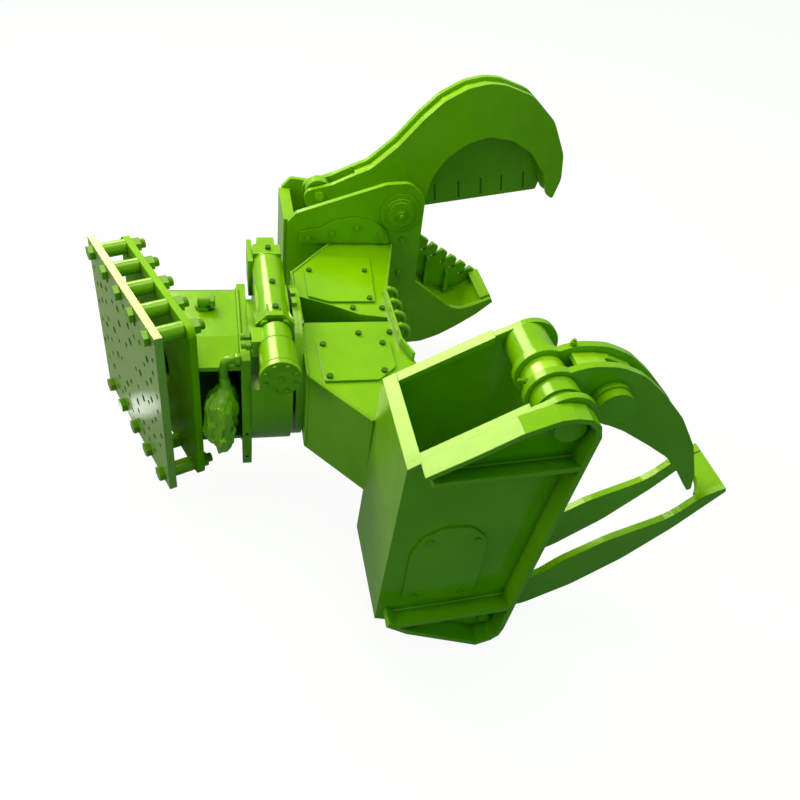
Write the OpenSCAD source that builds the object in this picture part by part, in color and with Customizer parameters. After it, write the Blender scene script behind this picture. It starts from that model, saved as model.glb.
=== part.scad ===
// Tree shear and grapple head for a small excavator. All sizes in millimetres.
// X runs along the slewing axis from the mount plate to the jaws, Y points to the shear side, Z is up.

/* [Mount] */
// Side length of the square outer mount plate
plate_size = 500; // [460:10:560]
// Thickness of the outer mount plate
plate_t = 20; // [16:1:26]
// Clear gap between the outer and inner mount plates
plate_gap = 64; // [50:2:70]
// Thickness of the inner mount plate
inner_t = 18; // [14:1:22]
// Angle of the mount plates about the vertical axis
plate_turn = 22; // [14:1:26]
// Shank diameter of the clamp bolts
clamp_bolt_d = 24; // [20:1:26]
// Distance of the outermost clamp bolts from the plate's side edges
clamp_side = 45; // [40:1:60]
// Distance of the clamp bolt rows from the plate's top and bottom edges
clamp_rise = 24; // [24:1:34]

/* [Neck] */
// Half width of the neck
neck_half = 174; // [160:2:186]
// Height of the neck's flat top over the slewing axis
neck_top = 138; // [120:1:142]
// Wall thickness of the neck
neck_wall = 12; // [8:1:16]

/* [Slewing drive] */
// Outer radius of the drive housing
drive_r = 214; // [206:1:222]
// Radius of the bearing spigot
spigot_r = 150; // [130:1:160]
// Running clearance of the bearing spigot
spigot_gap = 0.05; // [0.02:0.01:0.1]
// Radius of the worm tube
worm_r = 42; // [36:1:46]
// Radius of the rotating flange
ring_r = 205; // [196:1:210]

/* [Head] */
// Level of the head's top plate over the slewing axis
head_top = 133; // [126:1:140]
// Level of the head's bottom plate under the slewing axis
head_bottom = 105; // [99:1:112]
// Distance from the slewing axis to the shear and to the grapple
head_half = 408; // [396:2:420]
// Plate thickness of the head
head_wall = 14; // [10:1:16]

/* [Shear] */
// Thickness of the shear's side plates
side_t = 18; // [14:1:22]
// Width of the hook over its two plates
hook_w = 80; // [72:2:84]
// Thickness of each hook plate
hook_t = 18; // [14:1:20]
// Thickness of the blade
blade_t = 18; // [12:1:18]
// Radius of both main pivot pins
pivot_r = 30; // [24:1:34]
// Running clearance of the pivot pins
pivot_gap = 0.05; // [0.02:0.01:0.1]
// Radius of the shear cylinder's barrel
shear_barrel_r = 48; // [42:1:52]
// Pitch of the fixed jaw's teeth
tooth_pitch = 45; // [40:1:46]
// Number of teeth on the fixed jaw
tooth_count = 6; // [4:1:6]

/* [Grapple] */
// Plate thickness of the grapple box
box_t = 16; // [12:1:18]
// Width of the grapple box over its cheeks
box_w = 283; // [276:1:290]
// Depth of the frame band on the outer cheek
band_d = 49; // [36:1:56]
// Thickness of the claw and fork plates
claw_t = 18; // [14:1:20]
// Width of the claw over its two plates
claw_w = 88; // [86:2:92]
// Radius of the grapple cylinder's barrel
claw_barrel_r = 38; // [32:1:39]

/* [Hidden] */
$fn = 64;
arc_step = 9;
slack = 0.3;

paint = [0.36, 0.60, 0.04];
paint_lit = [0.50, 0.74, 0.03];
paint_deep = [0.20, 0.42, 0.03];
paint_face = [0.47, 0.58, 0.27];
steel = [0.66, 0.67, 0.66];

// Mount levels, measured along the plate's normal
inner_x0 = plate_t + plate_gap;
inner_x1 = inner_x0 + inner_t;
inner_half = plate_size / 2 - 5;
bolt_af = clamp_bolt_d * 1.5;
clamp_count = 5;
clamp_y = plate_size / 2 - clamp_side;
clamp_z = plate_size / 2 - clamp_rise;

// Small plate holes as shares of the clamp bolts' positions, with each hole's radius
hole_set = [
  [0.107, 0.867, 8], [0.302, 0.832, 7], [0.507, 0.885, 9], [0.732, 0.85, 8], [1.083, 0.752, 7],
  [0.195, 0.664, 10], [0.41, 0.646, 7], [0.624, 0.699, 8], [0.859, 0.619, 10], [1.034, 0.549, 7],
  [0.722, 0.46, 7], [0.927, 0.372, 9], [1.102, 0.265, 7], [0.741, 0.204, 8], [0.859, 0.053, 10],
  [1.063, 0.018, 7], [0.712, -0.088, 7], [0.937, -0.195, 8], [1.102, -0.327, 9], [0.78, -0.345, 7],
  [0.176, -0.619, 8], [0.38, -0.664, 10], [0.585, -0.602, 7], [0.8, -0.566, 9], [1.005, -0.549, 7],
  [0.117, -0.823, 7], [0.322, -0.867, 9], [0.537, -0.814, 8], [0.722, -0.858, 7]
];
centre_holes = [[0, 62, 8], [0, -62, 8], [66, 30, 7], [-66, 30, 7], [66, -30, 7], [-66, -30, 7]];
adapter_count = 8;
adapter_r = 110;
adapter_hole_r = 11;

// Levels along the slewing axis
flange_x0 = 288;
flange_x1 = 312;
base_x1 = 332;
drive_x1 = 416;
ring_x0 = 424;
ring_x1 = 436;
head_x0 = 446;
worm_x = 374;
worm_z = 193;
worm_y0 = -110;
worm_y1 = 178;
motor_y = [-128, -205, -298, -316];
motor_flange_r = 52;
motor_neck_r = 24;
motor_bolt_r = 36;
plug_rows = [-84, 30];
plug_r = 8;
hose_hole_r = 60;

// Head outline seen from above, corner by corner
head_outline = [
  [head_x0, 237], [581, head_half], [778, head_half], [708, 133], [708, -121],
  [729, -188], [780, -head_half], [581, -head_half], [head_x0, -237]
];
slot_edge = [[460, 114], [547, 68], [616, 24], [691, 7]];
ring_bolt_angles = [0, 28, 75, 105, 152, 180, 208, 255, 285, 332];
ring_bolt_r = 160;

// Levels across the shear
near_y = head_half;
far_y = head_half + 245;
tooth_y0 = head_half + 183;
tooth_y1 = tooth_y0 + side_t;
hook_mid = head_half + 122;
hook_y0 = hook_mid - hook_w / 2;
hook_y1 = hook_mid + hook_w / 2;
shear_pivot = [793, 242];
tail_pin = [553, 250];
tail_pin_r = 15;
shear_base = [600, -150];
shear_eye_r = 40;
shear_eye_bore = 23;
shear_gland = 318;
shear_rod_len = 330;
hook_gap = hook_w - 2 * hook_t;
shear_rod_r = hook_gap / 2 - 1;
shear_eye_w = hook_gap - 6;
base_pin_r = 22;

// Levels across the grapple
far_cheek = -head_half;
near_cheek = far_cheek - box_w;
claw_y0 = near_cheek + 83.5;
claw_y1 = claw_y0 + claw_w;
claw_mid = (claw_y0 + claw_y1) / 2;
claw_gap = claw_w - 2 * claw_t;
fork_y0 = claw_y0 - 4;
fork_y1 = claw_y1 + 21;
fork_mid = (fork_y0 + fork_y1) / 2;
tine_in = (fork_y1 - fork_y0) / 2;
bar_over = 10;
claw_pivot = [900, 370];
rod_pin = [1030, 355];
rod_pin_r = 22;
claw_base = [855, -287];
claw_eye_r = 40;
claw_eye_bore = 30.5;
claw_gland = 500;
claw_rod_len = 380;
claw_rod_r = claw_gap / 2 - 2;
claw_eye_w = claw_gap - 4;

// Side outlines, each corner as x, z and corner radius
near_plate_line = [
  [450, 204, 14], [476, 233, 20], [744, 331, 60], [816, 337, 46], [867, 294, 46], [869, 164, 60],
  [873, -8, 12], [899, -27, 12], [973, -84, 60], [1012, -112, 50], [1047, -121, 50], [1085, -109, 60],
  [1150, -80, 4], [1163, -90, 6], [1109, -143, 30], [1042, -193, 90], [987, -228, 90], [925, -254, 60],
  [871, -259, 40], [600, -259, 30], [470, -180, 20], [450, -120, 20]
];
far_plate_line = [
  [450, 204, 14], [478, 236, 12], [546, 228, 90], [657, 272, 90], [764, 320, 60], [822, 326, 50],
  [868, 290, 40], [869, 0, 30],
  [840, -259, 40], [600, -259, 30], [470, -180, 20], [450, -120, 20]
];
hook_top_line = [
  [660, 321], [707, 342], [785, 416], [850, 498], [906, 556], [975, 598], [1036, 614],
  [1085, 612], [1180, 583], [1263, 512], [1320, 408], [1334, 326]
];
hook_line = [
  [508, 264, 26], [590, 286, 60], [650, 316, 90], [707, 342, 90], [785, 416, 90], [850, 498, 90], [906, 556, 90],
  [975, 598, 90], [1036, 614, 90], [1085, 612, 90], [1180, 583, 90], [1263, 512, 90], [1320, 408, 90],
  [1334, 326, 60], [1320, 256, 7], [1297, 270, 7], [1269, 340, 70], [1213, 408, 80], [1144, 445, 80],
  [1066, 456, 80], [1000, 432, 80], [943, 385, 80], [906, 326, 70], [888, 232, 90], [862, 160, 60],
  [793, 134, 80], [722, 158, 60], [668, 205, 40], [508, 208, 26]
];
blade_line = [
  [905, 183, 8], [1288, 252, 6], [1296, 292, 20], [1268, 372, 60], [1205, 440, 80], [1110, 474, 90],
  [1010, 462, 90], [930, 402, 80], [890, 300, 90]
];
tooth_line = [
  [700, 60, 10], [880, 96, 40], [921, 61, 0], [1148, -82, 0], [1158, -96, 6],
  [1109, -143, 30], [1042, -193, 90], [987, -228, 90], [925, -254, 60], [871, -259, 40], [700, -259, 0]
];
tooth_start = [942, 48];
tooth_turn = -32.2;
floor_path = [[880, -60], [910, -84], [960, -128], [1000, -152], [1035, -160], [1070, -154], [1118, -128]];
bottom_path = [[871, -259], [927, -253], [987, -228], [1042, -193], [1109, -143], [1140, -116]];

cheek_line = [
  [590, 261, 0], [977.5, 494, 66], [906, -276, 40], [872, -346, 30], [828, -350, 40], [640, -268, 60],
  [574, -246, 0]
];
far_cheek_line = [
  [590, 261, 0], [993, 473, 66], [906, -276, 40], [872, -346, 30], [828, -350, 40], [640, -268, 60],
  [574, -246, 0]
];
band_path = [
  [612, 288], [700, 338], [790, 394], [858, 422], [889, 425], [921, 420], [944, 402], [953, 372],
  [936, 200], [922, 60], [906, -100], [891, -270], [884, -300], [866, -318], [829, -333],
  [643, -250], [590, -212]
];
claw_line = [
  [905, 421, 0], [964, 442, 120], [1034, 437, 120], [1095, 411, 120], [1156, 361, 120], [1230, 286, 120],
  [1293, 196, 120], [1334, 101, 90], [1346, 47, 4], [1336, 42, 3], [1270, 131, 60], [1234, 165, 90],
  [1170, 209, 120], [1094, 257, 120], [1042, 281, 90], [960, 300, 60], [905, 322, 0]
];
claw_top_path = [
  [950, 441], [1000, 441], [1034, 436], [1095, 410], [1156, 360], [1230, 285], [1290, 196], [1326, 110]
];
front_wall = [[888, -290], [918, 60], [934, 60], [903, -290]];
tine_line = [
  [640, -262, 10], [640, -215, 20], [760, -190, 60], [900, -230, 80], [992, -236, 90], [1058, -172, 120],
  [1163, -102, 160], [1309, -34, 160], [1372, 40, 60], [1424, 66, 4], [1427, 52, 4], [1330, -72, 160],
  [1226, -182, 160], [1110, -274, 160], [984, -345, 90], [868, -340, 20], [825, -336, 40]
];
hose_path = [
  [282, -164, 134], [270, -168, 133], [252, -178, 131], [240, -186, 120], [234, -190, 104],
  [233, -188, 86], [234, -180, 68]
];
bundle_path = [
  [236, -150, 84], [236, -152, 66], [234, -156, 40], [232, -162, 12], [229, -170, -20], [226, -178, -52],
  [224, -186, -82], [222, -192, -106], [221, -196, -122]
];
bundle_width = [10, 27, 36, 42, 40, 35, 27, 17, 6];

function unit2(v) = v / norm(v);
function turned(v, a) = [v[0] * cos(a) - v[1] * sin(a), v[0] * sin(a) + v[1] * cos(a)];
function flat(p) = [p[0], p[1]];
function corner(a, b, c, r) = r <= 0 ? [b] :
  let (d1 = unit2(a - b), d2 = unit2(c - b), half = acos(d1 * d2) / 2)
  let (hub = b + unit2(d1 + d2) * (r / sin(half)), start = b + d1 * (r / tan(half)) - hub)
  let (turn = 180 - 2 * half, way = d1[0] * d2[1] - d1[1] * d2[0] > 0 ? -1 : 1)
  let (n = max(1, ceil(turn / arc_step)))
  [for (i = [0 : n]) hub + turned(start, way * turn * i / n)];
function rounded(p) = [
  for (i = [0 : len(p) - 1])
    each corner(flat(p[(i + len(p) - 1) % len(p)]), flat(p[i]), flat(p[(i + 1) % len(p)]), p[i][2])
];
function left_of(d) = unit2([-d[1], d[0]]);
function side_of(p, i) = let (last = len(p) - 1)
  i == 0 ? left_of(p[1] - p[0]) : i == last ? left_of(p[last] - p[last - 1]) :
  let (a = left_of(p[i] - p[i - 1]), b = left_of(p[i + 1] - p[i]), m = unit2(a + b)) m / (m * a);
function shifted(p, d) = [for (i = [0 : len(p) - 1]) p[i] + side_of(p, i) * d];
function reversed(p) = [for (i = [len(p) - 1 : -1 : 0]) p[i]];
function strip(p, d0, d1) = concat(shifted(p, d0), reversed(shifted(p, d1)));

// Ring of points round a path, for hoses
function along(p, i) = let (d = p[min(i + 1, len(p) - 1)] - p[max(i - 1, 0)]) d / norm(d);
function ring_at(p, i, r, n) =
  let (d = along(p, i), u = cross(d, [1, 0.2, 0.1]), a = u / norm(u), b = cross(d, a))
  [for (k = [0 : n - 1]) p[i] + r * (cos(360 * k / n) * a + sin(360 * k / n) * b)];

module swept(p, radii, n) {
  last = len(p) - 1;
  points = [for (i = [0 : last]) each ring_at(p, i, radii[i], n)];
  faces = concat(
    [[for (k = [0 : n - 1]) k]],
    [for (i = [0 : last - 1]) for (k = [0 : n - 1])
      [i * n + k, (i + 1) * n + k, (i + 1) * n + (k + 1) % n, i * n + (k + 1) % n]],
    [[for (k = [n - 1 : -1 : 0]) last * n + k]]
  );
  polyhedron(points = points, faces = faces, convexity = 6);
}

module slab(y0, y1) {
  translate([0, y1, 0]) rotate([90, 0, 0]) linear_extrude(y1 - y0) children();
}

module beam(x0, x1) {
  translate([x0, 0, 0]) rotate([90, 0, 90]) linear_extrude(x1 - x0) children();
}

module rod_y(p, y0, y1, r) {
  translate([p[0], y1, p[1]]) rotate([90, 0, 0]) cylinder(h = y1 - y0, r = r);
}

module rod_x(x0, x1, y, z, r) {
  translate([x0, y, z]) rotate([0, 90, 0]) cylinder(h = x1 - x0, r = r);
}

module hex_y(p, y0, y1, af) {
  translate([p[0], y1, p[1]]) rotate([90, 0, 0]) cylinder(h = y1 - y0, r = af / 2 / cos(30), $fn = 6);
}

module hex_x(x0, x1, y, z, af) {
  translate([x0, y, z]) rotate([0, 90, 0]) cylinder(h = x1 - x0, r = af / 2 / cos(30), $fn = 6);
}

module on_plate() {
  rotate([0, 0, plate_turn]) children();
}

module at_clamps() {
  for (row = [-1, 1]) {
    for (i = [0 : clamp_count - 1]) {
      translate([0, clamp_y * (2 * i / (clamp_count - 1) - 1), row * clamp_z]) children();
    }
  }
}

module outer_plate() {
  color(paint_face) on_plate() difference() {
    translate([0, -plate_size / 2, -plate_size / 2]) cube([plate_t, plate_size, plate_size]);
    at_clamps() rod_x(-1, plate_t + 1, 0, 0, clamp_bolt_d / 2);
    for (side = [-1, 1]) {
      for (h = hole_set) rod_x(-1, plate_t + 1, side * h[0] * clamp_y, h[1] * clamp_z, h[2]);
    }
    for (h = centre_holes) rod_x(-1, plate_t + 1, h[0], h[1], h[2]);
    for (i = [0 : adapter_count - 1]) {
      a = 360 * (i + 0.5) / adapter_count;
      rod_x(-1, plate_t + 1, adapter_r * cos(a), adapter_r * sin(a), adapter_hole_r);
    }
  }
}

module inner_plate() {
  h = inner_half;
  color(paint) on_plate() difference() {
    beam(inner_x0, inner_x1) polygon(rounded([[h, h, 26], [-h, h, 26], [-h, -h, 26], [h, -h, 26]]));
    at_clamps() rod_x(inner_x0 - 1, inner_x1 + 1, 0, 0, clamp_bolt_d / 2);
    rod_x(inner_x0 - 1, inner_x1 + 1, 0, 0, 70);
  }
}

module spacer_tubes() {
  color(paint_lit) on_plate() at_clamps() difference() {
    rod_x(plate_t, inner_x0, 0, 0, clamp_bolt_d * 0.85);
    rod_x(plate_t - 1, inner_x0 + 1, 0, 0, clamp_bolt_d / 2);
  }
}

module clamp_bolts() {
  color(paint) on_plate() at_clamps() {
    hex_x(-15, 0, 0, 0, bolt_af);
    rod_x(-1, inner_x1 + 34, 0, 0, clamp_bolt_d / 2);
  }
}

module clamp_nuts() {
  color(paint_lit) on_plate() at_clamps() difference() {
    hex_x(inner_x1, inner_x1 + 20, 0, 0, bolt_af);
    rod_x(inner_x1 - 1, inner_x1 + 21, 0, 0, clamp_bolt_d / 2);
  }
}

module neck_shell() {
  y = neck_half;
  z = neck_top;
  w = neck_wall;
  color(paint) difference() {
    union() {
      beam(-40, flange_x0) polygon([
        [-y, z - 20], [-70, z], [136, z], [y, z - 20], [y, -150], [-150, -150], [-150, -150 + w],
        [y - w, -150 + w], [y - w, z - 20 - w], [136, z - w], [-70, z - w], [-y, z - 20 - w]
      ]);
      beam(230, 242) polygon([[-60, z - w], [136, z - w], [y - w, z - 28], [y - w, -138], [-60, -138]]);
    }
    on_plate() translate([inner_x1 - 400, -400, -400]) cube([400, 800, 800]);
    translate([199, 56, z - w - 1]) cylinder(h = w + 2, r = 14);
    rod_x(229, 243, 40, 0, hose_hole_r);
  }
}

module neck_flange() {
  y = neck_half + 2;
  z = neck_top;
  color(paint) difference() {
    beam(flange_x0, flange_x1) polygon(rounded([
      [y, z, 6], [-y, z, 4], [-y - 2, 64, 40], [-196, -20, 120], [-202, -90, 120], [-192, -165, 90],
      [-174, -226, 12], [-152, -230, 12], [-138, -172, 20], [120, -164, 20], [y, -120, 30]
    ]));
    rod_x(flange_x0 - 1, flange_x1 + 1, 0, 0, hose_hole_r);
    for (z1 = [-89, -186]) {
      translate([(flange_x0 + flange_x1) / 2, -230, z1]) rotate([-90, 0, 0]) cylinder(h = 60, r = 5);
    }
  }
}

module neck_elbow() {
  color(paint_lit) translate([199, 56, 0]) difference() {
    union() {
      translate([0, 0, neck_top - neck_wall]) cylinder(h = neck_wall + 22, r = 14);
      translate([0, 0, neck_top]) cylinder(h = 9, r = 21, $fn = 6);
      translate([-14, 0, neck_top + 22]) rotate([0, 90, 0]) cylinder(h = 46, r = 14);
      translate([18, 0, neck_top + 22]) rotate([0, 90, 0]) cylinder(h = 12, r = 19, $fn = 6);
    }
    translate([0, 0, neck_top + 22]) rotate([0, 90, 0]) cylinder(h = 60, r = 8);
  }
}

module supply_hose() {
  color(paint) {
    swept(hose_path, [for (i = hose_path) 11], 12);
    rod_x(276, flange_x0, -164, 134, 13);
  }
}

module hose_bundle() {
  color(paint_deep) swept(bundle_path, bundle_width, 12);
}

module drive_housing() {
  color(paint) difference() {
    union() {
      rod_x(base_x1, drive_x1, 0, 0, drive_r);
      rod_x(flange_x1, base_x1 + 1, 0, 0, 158);
      difference() {
        rod_x(flange_x1, base_x1 + 1, 0, 0, drive_r);
        translate([flange_x1 - 1, -300, 66]) cube([40, 600, 300]);
      }
      rod_y([worm_x, worm_z], worm_y0, worm_y1, worm_r);
      translate([worm_x - 52.5, 160, 106]) cube([14, 118, 112]);
    }
    rod_x(base_x1 + 8, drive_x1 + 1, 0, 0, spigot_r);
    rod_x(flange_x1 - 1, base_x1 + 9, 0, 0, hose_hole_r);
    rod_y([worm_x, worm_z], worm_y0 - 140, worm_y0, motor_flange_r + 2);
    for (y = plug_rows) translate([worm_x + 4, y, worm_z + worm_r - 6]) cylinder(h = 10, r = plug_r);
  }
}

module drive_end_block() {
  color(paint) {
    translate([worm_x - 38, worm_y1, worm_z - 38]) cube([76, 50, 76]);
    translate([worm_x - 24, worm_y1 + 50, worm_z - 26]) cube([48, 50, 58]);
    hex_y([worm_x - 26, worm_z + 26], worm_y1 + 50, worm_y1 + 58, 19);
    hex_y([worm_x + 28, worm_z - 20], worm_y1 + 50, worm_y1 + 58, 19);
  }
}

module drive_plugs() {
  color(paint_deep) {
    for (y = plug_rows) translate([worm_x + 4, y, worm_z + worm_r - 6]) cylinder(h = 12, r = plug_r);
    translate([worm_x + 4, worm_y1 + 28, worm_z + 38]) cylinder(h = 8, r = plug_r);
  }
}

module motor_flange() {
  color(paint_lit) {
    translate([worm_x, worm_y0, worm_z]) rotate([90, 22.5, 0]) cylinder(h = 18, r = motor_flange_r, $fn = 8);
    for (a = [45, 135]) {
      hex_y([worm_x + motor_bolt_r * cos(a), worm_z + motor_bolt_r * sin(a)], worm_y0 - 28, worm_y0 - 17, 19);
    }
  }
}

module motor_body() {
  color(paint) {
    rod_y([worm_x, worm_z], motor_y[1], motor_y[0] - 13, 39);
    rod_y([worm_x, worm_z], motor_y[0] - 14, motor_y[0], motor_neck_r);
    translate([worm_x - 60, motor_y[1] + 4, worm_z - 24]) cube([40, 59, 46]);
  }
}

module motor_cover() {
  color(paint) {
    rod_y([worm_x, worm_z], motor_y[2], motor_y[1], 45);
    rod_y([worm_x, worm_z], motor_y[3], motor_y[2], 49);
  }
}

module motor_screws() {
  color(paint_lit) {
    for (i = [0 : 7]) {
      a = 360 * (i + 0.5) / 8;
      rod_y([worm_x + 38 * cos(a), worm_z + 38 * sin(a)], motor_y[3] - 7, motor_y[3], 6);
    }
    hex_y([worm_x, worm_z], motor_y[3] - 5, motor_y[3], 12);
  }
}

module motor_fittings() {
  color(paint) for (y = [-150, -184]) {
    rod_x(worm_x - 86, worm_x - 60, y, worm_z, 9);
    hex_x(worm_x - 74, worm_x - 62, y, worm_z, 24);
  }
}

module slew_ring() {
  color(paint_deep) difference() {
    union() {
      rod_x(ring_x0, ring_x1, 0, 0, ring_r);
      rod_x(base_x1 + 12, ring_x0 + 1, 0, 0, spigot_r - spigot_gap);
      for (y = [-36, 8]) translate([ring_x0, y, ring_r - 8]) cube([ring_x1 - ring_x0, 26, 17]);
    }
    rod_x(base_x1 + 11, ring_x1 + 1, 0, 0, hose_hole_r);
  }
}

module head_flange() {
  color(paint) difference() {
    rod_x(ring_x1, head_x0, 0, 0, ring_r);
    rod_x(ring_x1 - 1, head_x0 + 1, 0, 0, hose_hole_r);
  }
}

module ring_bolts() {
  color(paint_lit) for (a = ring_bolt_angles) {
    hex_x(head_x0, head_x0 + 9, ring_bolt_r * cos(a), ring_bolt_r * sin(a), 18);
  }
}

module head_shell() {
  color(paint) {
    difference() {
      translate([0, 0, head_top - head_wall]) linear_extrude(head_wall) polygon(head_outline);
      translate([0, 0, head_top - head_wall - 1]) linear_extrude(head_wall + 2)
        polygon(concat([[460, -12]], slot_edge, [[691, -12]]));
    }
    translate([0, 0, -head_bottom]) linear_extrude(head_wall) polygon(head_outline);
    translate([0, 0, 1 - head_bottom]) linear_extrude(head_top + head_bottom - 2) {
      polygon(strip(head_outline, 0, -head_wall));
      polygon(strip(concat([[452, 118]], slot_edge), 0, 12));
    }
    difference() {
      beam(head_x0, head_x0 + head_wall)
        polygon([[237, head_top], [-237, head_top], [-237, -head_bottom], [237, -head_bottom]]);
      rod_x(head_x0 - 1, head_x0 + head_wall + 1, 0, 0, 176);
    }
  }
}

module shear_side_cover() {
  color(paint) translate([0, 0, head_top]) linear_extrude(6) polygon(rounded([
    [484, 108, 4], [538, 80, 4], [669, 78, 4], [676, 150, 40], [692, 320, 6], [540, 320, 20], [486, 250, 20]
  ]));
}

module grapple_side_cover() {
  color(paint) translate([0, 0, head_top]) linear_extrude(6) polygon(rounded([
    [482, -104, 4], [676, -104, 4], [673, -215, 20], [623, -264, 20], [486, -264, 4]
  ]));
}

module cover_bolts() {
  color(paint_deep) {
    for (p = [[499, 239], [663, 236], [655, 92], [498, -118], [655, -118], [500, -248], [640, -232]]) {
      translate([p[0], p[1], head_top + 6]) cylinder(h = 6, r = 8.5, $fn = 6);
    }
    for (p = [[602, 52], [684, 50], [599, -66], [684, -64]]) {
      translate([p[0], p[1], head_top]) cylinder(h = 7, r = 8.5, $fn = 6);
    }
  }
}

module hose_guard() {
  path = [[700, 132], [700, -121], [721, -188]];
  color(paint_lit) translate([0, 0, head_top]) linear_extrude(26) polygon(strip(path, 0, 6));
}

module hose_loops() {
  color(paint) for (y = [116, 56, -2, -60]) {
    translate([716, y, head_top]) rotate([90, 0, 0])
      rotate([0, 0, -90]) rotate_extrude(angle = 180) translate([20, 0]) circle(r = 8);
    rod_x(708, 716, y, head_top - 20, 8);
    rod_x(706, 716, y, head_top + 20, 8);
  }
}

module shear_near_plate() {
  color(paint) difference() {
    slab(near_y, near_y + side_t) polygon(rounded(near_plate_line));
    rod_y(shear_pivot, near_y - 1, near_y + side_t + 1, pivot_r);
    rod_y(shear_base, near_y - 1, near_y + side_t + 1, base_pin_r);
  }
}

module shear_far_plate() {
  color(paint) difference() {
    slab(far_y - side_t, far_y) polygon(rounded(far_plate_line));
    rod_y(shear_pivot, far_y - side_t - 1, far_y + 1, pivot_r);
    rod_y(shear_base, far_y - side_t - 1, far_y + 1, base_pin_r);
  }
}

module shear_back_wall() {
  color(paint_face) translate([440, near_y + side_t, -118])
    cube([34, far_y - near_y - 2 * side_t, 322]);
}

module jaw_floor() {
  color(paint) {
    slab(near_y + side_t, tooth_y0) {
      polygon(strip(floor_path, 0, -14));
      polygon(strip(bottom_path, 0, 14));
      polygon([[1118, -86], [1152, -72], [1164, -98], [1130, -112]]);
    }
    translate([620, near_y + side_t, -259]) cube([256, tooth_y0 - near_y - side_t, 14]);
    translate([620, tooth_y1, -259]) cube([220, far_y - side_t - tooth_y1, 14]);
    for (rib = [[952, -12, -126], [1030, -70, -164]]) {
      slab(tooth_y0 - 24, tooth_y0)
        polygon([[rib[0], rib[1]], [rib[0] + 12, rib[1] - 8], [rib[0] + 12, rib[2]], [rib[0], rib[2]]]);
    }
  }
}

module toothed_plate() {
  c = cos(tooth_turn);
  s = sin(tooth_turn);
  color(paint_deep) difference() {
    slab(tooth_y0, tooth_y1) polygon(rounded(tooth_line));
    slab(tooth_y0 - 1, tooth_y1 + 1) for (i = [0 : tooth_count - 2]) {
      translate(tooth_start + [c, s] * tooth_pitch * (i + 0.56)) rotate(tooth_turn) {
        polygon([[-15, 14], [-1, -24], [-9, -40], [-4, -42], [6, -24], [13, 14]]);
        translate([-7, -42]) circle(r = 6);
      }
    }
  }
}

module shear_cover() {
  color(paint) slab(near_y - 6, near_y) polygon(rounded([
    [482, head_top + 2, 2], [484, 174, 10], [546, 186, 40], [590, 212, 30], [656, 225, 90],
    [722, 209, 40], [756, 178, 20], [770, head_top + 2, 2]
  ]));
}

module shear_cover_bolts() {
  color(paint_lit) {
    for (p = [[513, 150], [585, 171], [661, 189], [739, 171]]) {
      rod_y(p, near_y - 11, near_y - 6, 11);
      hex_y(p, near_y - 16, near_y - 11, 15);
    }
    for (p = [[812, 146], [814, 28]]) {
      rod_y(p, near_y - 5, near_y, 11);
      hex_y(p, near_y - 10, near_y - 5, 15);
    }
  }
}

module shear_bosses() {
  color(paint_lit) difference() {
    union() {
      rod_y(shear_pivot, near_y - 6, near_y, 62);
      rod_y(shear_pivot, near_y - 12, near_y - 5, 48);
      rod_y(shear_pivot, near_y + side_t, hook_y0 - slack, 50);
      rod_y(shear_pivot, hook_y1 + slack, far_y - side_t, 50);
      rod_y(shear_pivot, far_y, far_y + 12, 54);
    }
    rod_y(shear_pivot, near_y - 13, far_y + 13, pivot_r);
  }
}

module shear_pivot_pin() {
  color(paint) {
    rod_y(shear_pivot, near_y - 12, far_y + 12, pivot_r);
    rod_y(shear_pivot, near_y - 18, near_y - 12, 40);
    rod_y(shear_pivot, far_y + 12, far_y + 18, 40);
    hex_y(shear_pivot, near_y - 27, near_y - 18, 24);
  }
}

module shear_base_pin() {
  color(paint) {
    rod_y(shear_base, near_y, far_y + 8, base_pin_r);
    rod_y(shear_base, far_y, far_y + 8, 34);
  }
}

module hook_plate(y0) {
  color(paint) difference() {
    slab(y0, y0 + hook_t) polygon(rounded(hook_line));
    rod_y(shear_pivot, y0 - 1, y0 + hook_t + 1, pivot_r + pivot_gap);
    rod_y(tail_pin, y0 - 1, y0 + hook_t + 1, tail_pin_r);
  }
}

module hook_near_plate() {
  hook_plate(hook_y0);
}

module hook_far_plate() {
  hook_plate(hook_y1 - hook_t);
}

module hook_web() {
  color(paint) difference() {
    slab(hook_y0 + hook_t, hook_y1 - hook_t) {
      polygon(strip(hook_top_line, -12, -26));
      translate(shear_pivot) circle(r = 62);
    }
    rod_y(shear_pivot, hook_y0, hook_y1, pivot_r + pivot_gap);
  }
}

module blade() {
  color(paint_deep) difference() {
    slab(hook_y1, hook_y1 + blade_t) polygon(rounded(blade_line));
    slab(hook_y1 + blade_t - 5, hook_y1 + blade_t + 1) for (x = [949, 1028, 1102, 1171, 1245]) {
      translate([x, 0.18 * (x - 905) + 183]) rotate(10) translate([-3, 12]) square([6, 56]);
    }
    slab(hook_y1 - 1, hook_y1 + 5) for (x = [949, 1028, 1102, 1171, 1245]) {
      translate([x, 0.18 * (x - 905) + 183]) rotate(10) translate([-3, 12]) square([6, 56]);
    }
  }
}

module blade_bolts() {
  color(paint_lit) for (p = [[1228, 368], [1258, 310], [985, 420], [1110, 460], [930, 360]]) {
    hex_y(p, hook_y1 + blade_t, hook_y1 + blade_t + 2.6, 24);
  }
}

module hook_tail_pin() {
  color(paint) rod_y(tail_pin, hook_y0 - 6, hook_y1 + 6, tail_pin_r);
}

// Direction of each cylinder from its base pin, as an angle from +Z toward +X
shear_lean = atan2(tail_pin[0] - shear_base[0], tail_pin[1] - shear_base[1]);
claw_lean = atan2(rod_pin[0] - claw_base[0], rod_pin[1] - claw_base[1]);
shear_len = norm(tail_pin - shear_base);
claw_len = norm(rod_pin - claw_base);

module along_cylinder(base, y, lean) {
  translate([base[0], y, base[1]]) rotate([0, lean, 0]) children();
}

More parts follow.
